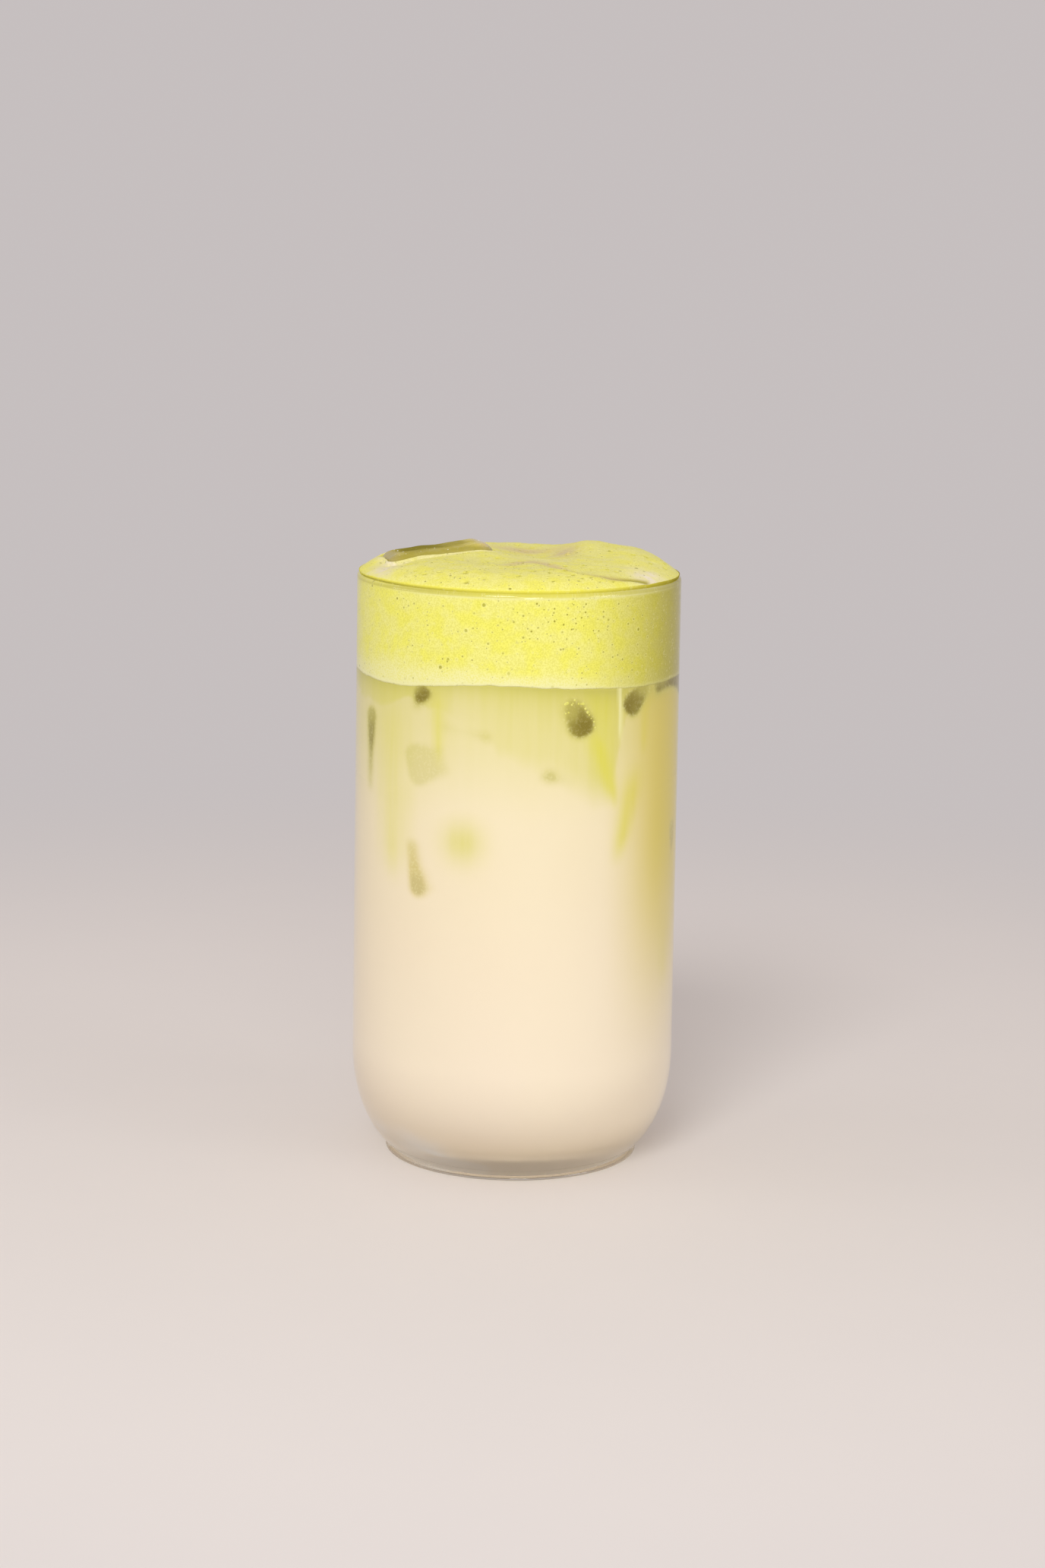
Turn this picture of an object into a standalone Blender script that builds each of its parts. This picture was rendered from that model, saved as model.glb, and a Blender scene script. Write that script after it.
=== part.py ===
# Tall glass tumbler of iced milk tea under a thick, domed layer of green tea foam,
# with one block of ice breaking the surface of the foam.
# Metres, +Z up. The origin is on the table under the middle of the foot, and the viewer stands at -Y.

import math

import bmesh
import bpy
from mathutils import Euler, Vector

MM = 0.001

# Glass, outside
GLASS_HEIGHT = 139.0 * MM
RIM_RADIUS = 38.0 * MM
BELLY_RADIUS = 38.4 * MM       # the wall widens a little towards the foot
CORNER_ACROSS = 20.0 * MM      # how far the rounded lower corner runs in
CORNER_UP = 28.0 * MM          # and how far it runs up
CORNER_FULLNESS = 2.2          # 2 is an ellipse, more is squarer
FOOT_RADIUS = 30.2 * MM
FOOT_HEIGHT = 0.8 * MM
FOOT_LEDGE = 1.4 * MM          # from the foot's edge in to the rounded corner
PUNT_RADIUS = 24.0 * MM        # the shallow hollow under the base
PUNT_DEPTH = 1.0 * MM

# Glass, inside
WALL = 1.6 * MM
BASE_THICKNESS = 6.5 * MM
BOWL_ACROSS = 19.0 * MM        # the rounded inner corner
BOWL_UP = 21.0 * MM

# Filling
GAP = 0.3 * MM                 # between pieces that touch
FOAM_LINE = 116.6 * MM         # where tea ends and foam begins
FOAM_LINE_SWELL = 1.5 * MM     # the foam line arches up here, near the front
FOAM_LINE_SWELL_AT = math.radians(-10)
FOAM_LINE_SWELL_WIDTH = math.radians(24)
FOAM_LINE_WAVE = 0.25 * MM
FOAM_EDGE_LIFT = 0.5 * MM      # the foam's edge stands above the lip
DOME_HEIGHT = 3.9 * MM         # above the foam's edge
DOME_FULLNESS = 7.4            # flat in the middle, steep at the edge
FOAM_BULGE = 0.75 * MM         # the foam's edge leans out over the lip
FOLD_HEIGHT = 0.9 * MM         # the step where one fold of foam overlaps the next
FOLD_FRONT = -15.0 * MM        # how far to the front the fold lies on the left
FOLD_RUN = 11.5 * MM           # how much farther forward it runs
FOLD_TURN = 15.0 * MM          # across this width
FOLD_HOOK = 3.9 * MM           # and how far back its right-hand end curls
FOAM_EDGE_RADIUS = 34.2 * MM   # inside this radius the top is a height field

# The block of ice that breaks the surface
ICE_SIZE = Vector((26.5 * MM, 15.0 * MM, 20.0 * MM))
ICE_TOP_CENTRE = Vector((-19.7 * MM, 1.6 * MM, GLASS_HEIGHT + 6.0 * MM))
ICE_YAW = math.radians(15)     # its right-hand end is farther back
ICE_TILT = math.radians(-6.5)  # and rides higher
ICE_ROUNDING = 2.6 * MM
ICE_HOLLOW = 0.3 * MM          # how far melting has sunk the middle of each face
POCKET_RISE = 5.0 * MM         # the room cut for it runs on up, clear of the foam

SEGMENTS = 64
TOP_RINGS = 13


def clear_scene():
    for thing in list(bpy.data.objects):
        bpy.data.objects.remove(thing)


def material(name, colour, roughness, transmission=0.0, ior=1.45):
    made = bpy.data.materials.new(name)
    made.use_nodes = True
    shader = made.node_tree.nodes["Principled BSDF"]
    shader.inputs["Base Color"].default_value = (*colour, 1.0)
    shader.inputs["Roughness"].default_value = roughness
    shader.inputs["Metallic"].default_value = 0.0
    shader.inputs["Transmission Weight"].default_value = transmission
    shader.inputs["IOR"].default_value = ior
    return made


def add_object(name, mesh, finish):
    made = bpy.data.objects.new(name, mesh)
    made.data.materials.append(finish)
    bpy.context.scene.collection.objects.link(made)
    mesh.shade_smooth()
    mesh.set_sharp_from_angle(angle=math.radians(35))
    return made


def closed_stack(name, first_pole, rings, last_pole):
    """A closed skin over rings of equal count, with a fan of triangles to a pole at each end."""
    shape = bmesh.new()
    start = shape.verts.new(first_pole)
    end = shape.verts.new(last_pole)
    loops = [[shape.verts.new(point) for point in ring] for ring in rings]
    count = len(loops[0])
    for i in range(count):
        j = (i + 1) % count
        shape.faces.new((start, loops[0][i], loops[0][j]))
        shape.faces.new((end, loops[-1][j], loops[-1][i]))
        for low, high in zip(loops, loops[1:]):
            shape.faces.new((low[i], high[i], high[j], low[j]))
    bmesh.ops.recalc_face_normals(shape, faces=shape.faces)
    mesh = bpy.data.meshes.new(name)
    shape.to_mesh(mesh)
    shape.free()
    return mesh


def bearings():
    """Angles round the glass, with 0 at the front and positive towards +X."""
    return [2 * math.pi * i / SEGMENTS for i in range(SEGMENTS)]


def ring_at(radius, height):
    """A ring of points. Radius and height are numbers, or functions of the bearing."""
    points = []
    for angle in bearings():
        r = radius(angle) if callable(radius) else radius
        x = r * math.sin(angle)
        y = -r * math.cos(angle)
        z = height(x, y) if callable(height) else height
        points.append((x, y, z))
    return points


def quarter_curve(across, up, fullness, steps):
    """Points of a quarter superellipse, from the side (across, 0) down to the bottom (0, -up)."""
    power = 2 / fullness
    for step in range(steps + 1):
        turn = math.pi / 2 * step / steps
        yield across * math.cos(turn) ** power, -up * math.sin(turn) ** power


def outer_corner(steps=40):
    """The rounded lower corner from the wall down to the top of the foot."""
    centre = BELLY_RADIUS - CORNER_ACROSS
    narrowest = FOOT_RADIUS - FOOT_LEDGE
    points = [(centre + r, z) for r, z in quarter_curve(CORNER_ACROSS, CORNER_UP, CORNER_FULLNESS, steps)]
    kept = [point for point in points if point[0] >= narrowest]
    lift = FOOT_HEIGHT - kept[-1][1]
    return [(r, z + lift) for r, z in kept]


def wall_radius(z, corner_top):
    """The outside radius of the wall above the corner."""
    share = (z - corner_top) / (GLASS_HEIGHT - corner_top)
    return BELLY_RADIUS + (RIM_RADIUS - BELLY_RADIUS) * share


def inner_radius(z):
    """The inside radius of the glass at a height above the base."""
    corner_top = outer_corner()[0][1]
    bowl_top = BASE_THICKNESS + BOWL_UP
    side = wall_radius(max(z, corner_top), corner_top) - WALL
    if z >= bowl_top:
        return side
    drop = min(1.0, (bowl_top - z) / BOWL_UP)
    return side - BOWL_ACROSS * (1 - math.sqrt(1 - drop * drop))


def glass_outline():
    """The glass's profile, from the axis underneath, out and up the outside, and down the inside."""
    corner = outer_corner(28)[::-1]
    corner_top = corner[-1][1]
    points = [
        (PUNT_RADIUS * 0.75, PUNT_DEPTH),
        (PUNT_RADIUS, 0.0),
        (FOOT_RADIUS - 0.3 * MM, 0.0),
        (FOOT_RADIUS, 0.25 * MM),
        (FOOT_RADIUS, FOOT_HEIGHT - 0.1 * MM),
    ]
    points += corner[::2] if len(corner) % 2 else corner[::2] + corner[-1:]
    points += [(wall_radius(z, corner_top), z) for z in (60 * MM, 100 * MM)]
    lip = WALL / 2
    lip_steps = 6
    for step in range(lip_steps + 1):
        turn = math.pi * step / lip_steps
        points.append((RIM_RADIUS - lip + lip * math.cos(turn), GLASS_HEIGHT - lip + lip * math.sin(turn)))
    bowl_top = BASE_THICKNESS + BOWL_UP
    for z in (100 * MM, 60 * MM, bowl_top):
        points.append((inner_radius(z), z))
    bowl_steps = 9
    for step in range(1, bowl_steps + 1):
        turn = math.pi / 2 * step / bowl_steps
        z = bowl_top - BOWL_UP * math.sin(turn)
        points.append((inner_radius(z), z))
    return points


def make_glass():
    rings = [ring_at(r, z) for r, z in glass_outline()]
    mesh = closed_stack("glass", (0, 0, PUNT_DEPTH), rings, (0, 0, BASE_THICKNESS))
    finish = material("clear_glass", (0.93, 0.96, 0.95), 0.02, transmission=1.0, ior=1.5)
    return add_object("glass", mesh, finish)


def foam_line(x, y):
    """Height of the border between tea and foam. It waves at the wall and is level in the middle."""
    angle = math.atan2(x, -y)
    share = min(1.0, math.hypot(x, y) / (RIM_RADIUS - WALL)) ** 2
    swell = FOAM_LINE_SWELL * math.exp(-(((angle - FOAM_LINE_SWELL_AT) / FOAM_LINE_SWELL_WIDTH) ** 2))
    wave = FOAM_LINE_WAVE * (math.sin(3 * angle + 0.6) + 0.6 * math.sin(7 * angle - 1.1))
    return FOAM_LINE + share * (swell + wave)


def hump(x, y, at_x, at_y, wide, deep):
    """A rounded mound, 1 at its middle."""
    return math.exp(-(((x - at_x) / wide) ** 2) - (((y - at_y) / deep) ** 2))


def smooth(share):
    """Eases from 0 to 1 as share does."""
    share = max(0.0, min(1.0, share))
    return share * share * (3 - 2 * share)


def fold_edge(x):
    """Where the fold of foam that crosses the front right of the top lies, front to back."""
    return FOLD_FRONT - FOLD_RUN * smooth(x / FOLD_TURN) + FOLD_HOOK * smooth((x - 20 * MM) / (10 * MM))


def foam_top(x, y):
    """Height of the foam's upper surface."""
    edge = GLASS_HEIGHT + FOAM_EDGE_LIFT
    share = min(1.0, math.hypot(x, y) / (RIM_RADIUS - 0.6 * MM))
    dome = DOME_HEIGHT * (1 - share**DOME_FULLNESS)
    mounds = (
        1.9 * MM * hump(x, y, 17 * MM, 14 * MM, 5.8 * MM, 13 * MM)       # right-hand swell
        + 1.7 * MM * hump(x, y, 29 * MM, 10 * MM, 7 * MM, 14 * MM)       # and its shoulder by the rim
        + 1.3 * MM * hump(x, y, -9 * MM, -1 * MM, 9 * MM, 8 * MM)        # foam drawn up by the ice
        + 0.5 * MM * hump(x, y, -26 * MM, 4 * MM, 12 * MM, 14 * MM)
        - 2.2 * MM * hump(x, y, 3 * MM, 12 * MM, 8.5 * MM, 13 * MM)      # hollow beside the ice
        - 0.8 * MM * hump(x, y, 20 * MM, -20 * MM, 16 * MM, 9 * MM)      # low front right
        - 1.0 * MM * hump(x, y, -30 * MM, -11 * MM, 5 * MM, 5 * MM)      # low by the ice's left end
    )
    behind = (y - fold_edge(x)) / (1.0 * MM)
    fold = FOLD_HEIGHT * math.exp(-abs(behind) / 4) * math.tanh(-behind)
    fold *= hump(x, y, 17 * MM, -23 * MM, 13 * MM, 10 * MM)
    return edge + dome + (1 - share**8) * (mounds + fold)


def foam_rings():
    """Rings of the foam's skin from the middle of its underside round to the middle of its top."""
    wall = RIM_RADIUS - WALL - GAP
    rings = [ring_at(wall * share, lambda x, y: foam_line(x, y) + GAP / 2) for share in (0.35, 0.7, 0.9, 1.0)]
    lip_foot = GLASS_HEIGHT - WALL / 2
    rings.append(ring_at(wall, FOAM_LINE + 7 * MM))
    rings.append(ring_at(wall, lip_foot - 4 * MM))
    rings.append(ring_at(wall, lip_foot))
    rings.append(ring_at(wall + 0.15 * MM, GLASS_HEIGHT - 0.15 * MM))
    rings.append(ring_at(wall + FOAM_BULGE * 0.8, GLASS_HEIGHT + 0.45 * MM))
    rings.append(ring_at(wall + FOAM_BULGE, GLASS_HEIGHT + 1.1 * MM))
    rings.append(ring_at(wall + FOAM_BULGE * 0.55, GLASS_HEIGHT + 2.0 * MM))
    top_radii = [wall - 0.25 * MM, wall - 0.9 * MM]
    top_radii += [FOAM_EDGE_RADIUS * (1 - k / TOP_RINGS) for k in range(TOP_RINGS)]
    rings += [ring_at(r, foam_top) for r in top_radii]
    return rings


def ice_placement():
    turn = Euler((0, ICE_TILT, ICE_YAW), "XYZ")
    down = turn.to_matrix() @ Vector((0, 0, -ICE_SIZE.z / 2))
    return ICE_TOP_CENTRE + down, turn


def ice_mesh(name, grow=0.0, rise=0.0):
    """A block with rounded edges and faces that melting has hollowed a little. Its upper half can be raised."""
    cuts = 5
    shape = bmesh.new()
    bmesh.ops.create_cube(shape, size=2.0)
    bmesh.ops.subdivide_edges(shape, edges=shape.edges, cuts=cuts, use_grid_fill=True)
    half = ICE_SIZE / 2
    core = half - Vector((ICE_ROUNDING,) * 3)
    for corner in shape.verts:
        unit = corner.co.copy()
        flat = Vector(half[i] * math.copysign(abs(unit[i]) ** 0.8, unit[i]) for i in range(3))
        inner = Vector(max(-core[i], min(core[i], flat[i])) for i in range(3))
        outwards = (flat - inner).normalized()
        corner.co = inner + outwards * (ICE_ROUNDING + grow)
        others = [1 - unit[i] ** 2 for i in range(3)]
        middle = max(others[0] * others[1], others[1] * others[2], others[0] * others[2])
        corner.co -= outwards * ICE_HOLLOW * middle
        if unit.z > 0:
            corner.co.z += rise
    bmesh.ops.recalc_face_normals(shape, faces=shape.faces)
    mesh = bpy.data.meshes.new(name)
    shape.to_mesh(mesh)
    shape.free()
    return mesh


def make_ice():
    finish = material("ice", (0.86, 0.90, 0.80), 0.12, transmission=0.9, ior=1.31)
    ice = add_object("ice_block", ice_mesh("ice_block"), finish)
    ice.location, ice.rotation_euler = ice_placement()
    pocket = bpy.data.objects.new("ice_pocket", ice_mesh("ice_pocket", GAP, POCKET_RISE))
    bpy.context.scene.collection.objects.link(pocket)
    pocket.location, pocket.rotation_euler = ice_placement()
    pocket.hide_render = True
    pocket.display_type = "WIRE"
    return ice, pocket


def cut_round(thing, pocket):
    cut = thing.modifiers.new("room_for_ice", "BOOLEAN")
    cut.operation = "DIFFERENCE"
    cut.solver = "EXACT"
    cut.object = pocket


def make_foam(pocket):
    first = (0, 0, foam_line(0, 0) + GAP / 2)
    last = (0, 0, foam_top(0, 0))
    finish = material("green_tea_foam", (0.72, 0.74, 0.10), 0.55)
    foam = add_object("matcha_foam", closed_stack("matcha_foam", first, foam_rings(), last), finish)
    cut_round(foam, pocket)
    return foam


def tea_rings():
    """Rings of the tea's skin from the middle of its bottom round to the middle of its top."""
    bowl_top = BASE_THICKNESS + BOWL_UP
    steps = 9
    heights = [bowl_top - BOWL_UP * math.cos(math.pi / 2 * (k + 1) / steps) for k in range(steps)]
    rings = [ring_at(inner_radius(BASE_THICKNESS) - GAP, BASE_THICKNESS + GAP)]
    rings += [ring_at(inner_radius(z) - GAP, z + GAP) for z in heights]
    rings += [ring_at(inner_radius(z) - GAP, z) for z in (60 * MM, FOAM_LINE - 8 * MM)]
    wall = RIM_RADIUS - WALL - GAP
    rings += [ring_at(wall * share, lambda x, y: foam_line(x, y) - GAP / 2) for share in (1.0, 0.9, 0.7, 0.35)]
    return rings


def make_tea(pocket):
    first = (0, 0, BASE_THICKNESS + GAP)
    last = (0, 0, foam_line(0, 0) - GAP / 2)
    finish = material("milk_tea", (0.86, 0.72, 0.50), 0.30)
    tea = add_object("milk_tea", closed_stack("milk_tea", first, tea_rings(), last), finish)
    cut_round(tea, pocket)
    return tea


clear_scene()
make_glass()
ice_block, ice_pocket = make_ice()
make_foam(ice_pocket)
make_tea(ice_pocket)
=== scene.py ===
# The looks of an iced milk tea under green tea foam, in its tall glass.
# Metres, +Z up, seen from -Y. A bearing is 0 at the front and positive towards +X.
import math

import bmesh
import bpy
import numpy as np
from mathutils import Euler, Matrix, Vector
from mathutils.bvhtree import BVHTree


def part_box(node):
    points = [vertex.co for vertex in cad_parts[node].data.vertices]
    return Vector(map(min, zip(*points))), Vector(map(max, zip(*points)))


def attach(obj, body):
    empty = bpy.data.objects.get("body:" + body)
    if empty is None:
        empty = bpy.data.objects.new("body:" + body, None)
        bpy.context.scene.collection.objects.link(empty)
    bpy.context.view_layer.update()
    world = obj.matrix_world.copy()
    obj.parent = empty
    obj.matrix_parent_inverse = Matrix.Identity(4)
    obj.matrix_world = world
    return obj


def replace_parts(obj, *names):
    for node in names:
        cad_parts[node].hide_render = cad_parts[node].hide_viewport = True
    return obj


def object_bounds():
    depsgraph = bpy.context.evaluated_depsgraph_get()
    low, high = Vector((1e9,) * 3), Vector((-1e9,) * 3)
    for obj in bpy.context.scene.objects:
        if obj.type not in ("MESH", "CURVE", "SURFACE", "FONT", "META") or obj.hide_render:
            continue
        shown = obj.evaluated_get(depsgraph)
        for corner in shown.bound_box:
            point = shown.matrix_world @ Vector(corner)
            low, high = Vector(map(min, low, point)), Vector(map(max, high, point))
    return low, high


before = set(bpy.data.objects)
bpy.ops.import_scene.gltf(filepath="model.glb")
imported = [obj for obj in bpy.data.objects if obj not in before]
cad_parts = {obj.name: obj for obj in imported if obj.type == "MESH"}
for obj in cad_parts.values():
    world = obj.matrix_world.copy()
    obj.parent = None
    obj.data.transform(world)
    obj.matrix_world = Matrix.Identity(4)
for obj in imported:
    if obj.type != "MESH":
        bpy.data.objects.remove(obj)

mm = 0.001
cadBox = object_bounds()
glassLow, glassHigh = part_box("glass")
print("frame loaded")


def smoothstep(low, high, value):
    share = np.clip((value - low) / (high - low), 0, 1)
    return share * share * (3 - 2 * share)


def bell(value, middle, width, power=2):
    return np.exp(-(((value - middle) / width) ** power))


def humps(x, y, places):
    # each place is a height, where its middle is, and how wide and deep it spreads, all four in mm
    total = 0
    for high, *where in places:
        atX, atY, wide, deep = (v * mm for v in where)
        total = total + high * bell(x, atX, wide) * bell(y, atY, deep)
    return total


def lumps(points, size, seed):
    # smooth noise from -1 to 1, with features about one size across
    cells = 32   # it repeats after so many
    table = np.random.default_rng(seed).uniform(-1, 1, (cells, cells, cells))
    scaled = points / size + seed * 0.37
    cell = np.floor(scaled).astype(int)
    part = scaled - cell
    part = part * part * (3 - 2 * part)
    total = np.zeros(len(points))
    for corner in np.ndindex(2, 2, 2):
        weight = np.prod(np.where(corner, part, 1 - part), axis=1)
        a, b, c = ((cell + corner) % cells).T
        total += weight * table[a, b, c]
    return total


def roughness(points, layers):
    # each layer is a height and a size in mm, and a seed
    return sum(high * mm * lumps(points, size * mm, seed) for high, size, seed in layers)


def addPiece(name, mesh, slot, *materials):
    piece = bpy.data.objects.new(name, mesh)
    bpy.context.scene.collection.objects.link(piece)
    for material in materials:
        mesh.materials.append(material)
    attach(piece, "root")
    return piece


def ringSkin(name, rings, firstPole, lastPole):
    # a closed skin over rings of equal count, from a pole underneath round to a pole on top
    rings = np.asarray(rings)
    count, around = rings.shape[:2]
    points = np.vstack([firstPole, rings.reshape(-1, 3), lastPole])
    here = 1 + np.arange(count * around).reshape(count, around)
    beside = np.roll(here, -1, axis=1)
    sides = np.stack([here[:-1], beside[:-1], beside[1:], here[1:]], axis=-1).reshape(-1, 4)
    under = np.stack([np.zeros(around, int), beside[0], here[0]], axis=-1)
    over = np.stack([here[-1], beside[-1], np.full(around, len(points) - 1)], axis=-1)
    mesh = bpy.data.meshes.new(name)
    mesh.from_pydata(points.tolist(), [], under.tolist() + sides.tolist() + over.tolist())
    mesh.shade_smooth()
    return mesh


def paint(mesh, name, values):
    layer = mesh.attributes.new(name, "FLOAT", "POINT")
    layer.data.foreach_set("value", np.ascontiguousarray(values, np.float32))


def pointsOf(mesh):
    flat = np.empty(len(mesh.vertices) * 3, np.float32)
    mesh.vertices.foreach_get("co", flat)
    return flat.reshape(-1, 3).astype(float)


def bearingOf(points):
    return np.arctan2(points[:, 0], -points[:, 1])


def ballMesh(name, places):
    # one mesh of small balls, each a matrix from a ball of radius 1
    shape = bmesh.new()
    for place in places:
        bmesh.ops.create_icosphere(shape, subdivisions=2, radius=1, matrix=place)
    mesh = bpy.data.meshes.new(name)
    shape.to_mesh(mesh)
    shape.free()
    mesh.shade_smooth()
    return mesh


def ringOf(radius, height, around):
    turn = 2 * np.pi * np.arange(around) / around
    radius, height = np.broadcast_to(radius, around), np.broadcast_to(height, around)
    return np.stack([radius * np.sin(turn), -radius * np.cos(turn), height], axis=-1)


# Shader helpers. A group is built once, and each material sets its own values on it.
def newGroup(name, inputs, outputs):
    group = bpy.data.node_groups.new(name, "ShaderNodeTree")
    for label, kind, value in inputs:
        socket = group.interface.new_socket(label, in_out="INPUT", socket_type=kind)
        socket.default_value = value
    for label, kind in outputs:
        group.interface.new_socket(label, in_out="OUTPUT", socket_type=kind)
    return group, Nodes(group)


class Nodes:
    # places nodes in a tree and joins them, so that a material reads top to bottom
    def __init__(self, tree):
        self.tree = tree

    def add(self, kind, values=(), **settings):
        node = self.tree.nodes.new(kind)
        for key, value in settings.items():
            setattr(node, key, value)
        for key, value in dict(values).items():
            self.feed(node.inputs[key], value)
        return node

    def feed(self, socket, value):
        if isinstance(value, bpy.types.NodeSocket):
            self.tree.links.new(value, socket)
        else:
            socket.default_value = value

    def maths(self, operation, a, b, clamp=False):
        return self.add("ShaderNodeMath", {0: a, 1: b}, operation=operation, use_clamp=clamp).outputs[0]

    def level(self, value, gain, base):
        return self.maths("ADD", self.maths("MULTIPLY", value, gain), base)

    def mix(self, share, a, b, blend="MIX"):
        node = self.add("ShaderNodeMix", data_type="RGBA", blend_type=blend)
        self.feed(node.inputs[0], share)
        self.feed(node.inputs[6], a)
        self.feed(node.inputs[7], b)
        return node.outputs[2]

    def step(self, value, low, high, start=0.0, end=1.0):
        node = self.add("ShaderNodeMapRange", {"Value": value, "From Min": low, "From Max": high,
                                               "To Min": start, "To Max": end}, interpolation_type="SMOOTHSTEP")
        return node.outputs[0]

    def here(self):
        return self.add("ShaderNodeTexCoord").outputs["Object"]

    def painted(self, name):
        return self.add("ShaderNodeAttribute", attribute_name=name).outputs["Fac"]

    def wash(self, colour, name, rgb, share=1.0):
        # a colour laid over the places that were painted with this name
        return self.mix(self.maths("MULTIPLY", self.painted(name), share), colour, (*rgb, 1))

    def use(self, group, **values):
        return self.add("ShaderNodeGroup", values, node_tree=group).outputs

    def patch(self, perMetre, detail, low, high, stretch=(1, 1, 1)):
        return self.use(patches, PerMetre=perMetre, Detail=detail, Low=low, High=high, Stretch=stretch)["Patch"]


def newMaterial(name):
    material = bpy.data.materials.new(name)
    material.use_nodes = True
    shader = material.node_tree.nodes["Principled BSDF"]
    return material, Nodes(material.node_tree), shader


def bubbleGroup():
    # round holes of uneven size. Holes is 1 inside one, where painted shade darkens the foam; Lip is 1 on the bright
    # edge round it, a painted highlight
    group, n = newGroup("bubbles",
                        [("PerMetre", "NodeSocketFloat", 900.0), ("Size", "NodeSocketFloat", 0.3),
                         ("Rarity", "NodeSocketFloat", 2.0)],
                        [("Holes", "NodeSocketFloat"), ("Lip", "NodeSocketFloat")])
    given = n.add("NodeGroupInput").outputs
    cells = n.add("ShaderNodeTexVoronoi", {"Vector": n.here(), "Scale": given["PerMetre"]})
    chance = n.add("ShaderNodeSeparateColor", {0: cells.outputs["Color"]}).outputs[0]
    radius = n.maths("MULTIPLY", given["Size"], n.maths("POWER", chance, given["Rarity"]))
    smallest = 0.001
    share = n.maths("DIVIDE", cells.outputs["Distance"], n.maths("MAXIMUM", radius, smallest))
    holes = n.step(share, 1.0, 0.6)
    ring = n.step(share, 1.6, 1.1)
    n.add("NodeGroupOutput", {"Holes": holes, "Lip": n.maths("SUBTRACT", ring, holes)})
    return group


def patchGroup():
    # soft patches between 0 and 1
    group, n = newGroup("patches",
                        [("PerMetre", "NodeSocketFloat", 100.0), ("Detail", "NodeSocketFloat", 3.0),
                         ("Low", "NodeSocketFloat", 0.4), ("High", "NodeSocketFloat", 0.6),
                         ("Stretch", "NodeSocketVector", (1, 1, 1))],
                        [("Patch", "NodeSocketFloat")])
    given = n.add("NodeGroupInput").outputs
    place = n.add("ShaderNodeVectorMath", {0: n.here(), 1: given["Stretch"]}, operation="MULTIPLY")
    cloud = n.add("ShaderNodeTexNoise", {"Vector": place.outputs[0], "Scale": given["PerMetre"],
                                         "Detail": given["Detail"]})
    n.add("NodeGroupOutput", {"Patch": n.step(cloud.outputs["Fac"], given["Low"], given["High"])})
    return group


bubbles = bubbleGroup()
patches = patchGroup()


# The glass. Its profile is the solid's, turned finely.
glassSpec = dict(
    around=256,
    cornerAcross=20 * mm, cornerUp=28 * mm, cornerFullness=2.2,
    rimRadius=38 * mm, footRadius=30.2 * mm, footHeight=0.8 * mm, footLedge=1.4 * mm,
    footSoft=0.3 * mm, footStep=0.1 * mm, puntRadius=24 * mm, puntDepth=1.0 * mm,
    wall=1.6 * mm, baseThickness=6.5 * mm, bowlAcross=19 * mm, bowlUp=21 * mm,
    puntSteps=14, footSteps=5, cornerSteps=90, wallSteps=16, lipSteps=22, bowlSteps=44, sharpOver=math.radians(40),
    tint=(0.985, 1.0, 0.99), shine=1.5, smear=0.02, letThrough=(0.96, 0.97, 0.96),
)
rimHeight = glassHigh.z
bellyRadius = (glassHigh.x - glassLow.x) / 2
rimRadius = glassSpec["rimRadius"]
innerRim = rimRadius - glassSpec["wall"]


def outerCorner():
    s = glassSpec
    turn = np.linspace(0, np.pi / 2, s["cornerSteps"])
    power = 2 / s["cornerFullness"]
    r = bellyRadius - s["cornerAcross"] + s["cornerAcross"] * np.cos(turn) ** power
    z = -s["cornerUp"] * np.sin(turn) ** power
    kept = r >= s["footRadius"] - s["footLedge"]
    r, z = r[kept], z[kept]
    return r, z + s["footHeight"] - z[-1]


cornerTop = outerCorner()[1][0]
bowlTop = glassSpec["baseThickness"] + glassSpec["bowlUp"]


def wallRadius(z):
    share = (np.maximum(z, cornerTop) - cornerTop) / (rimHeight - cornerTop)
    return bellyRadius + (rimRadius - bellyRadius) * share


def innerRadius(z):
    s = glassSpec
    drop = np.clip((bowlTop - z) / s["bowlUp"], 0, 1)
    return wallRadius(z) - s["wall"] - s["bowlAcross"] * (1 - np.sqrt(1 - drop * drop))


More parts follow.
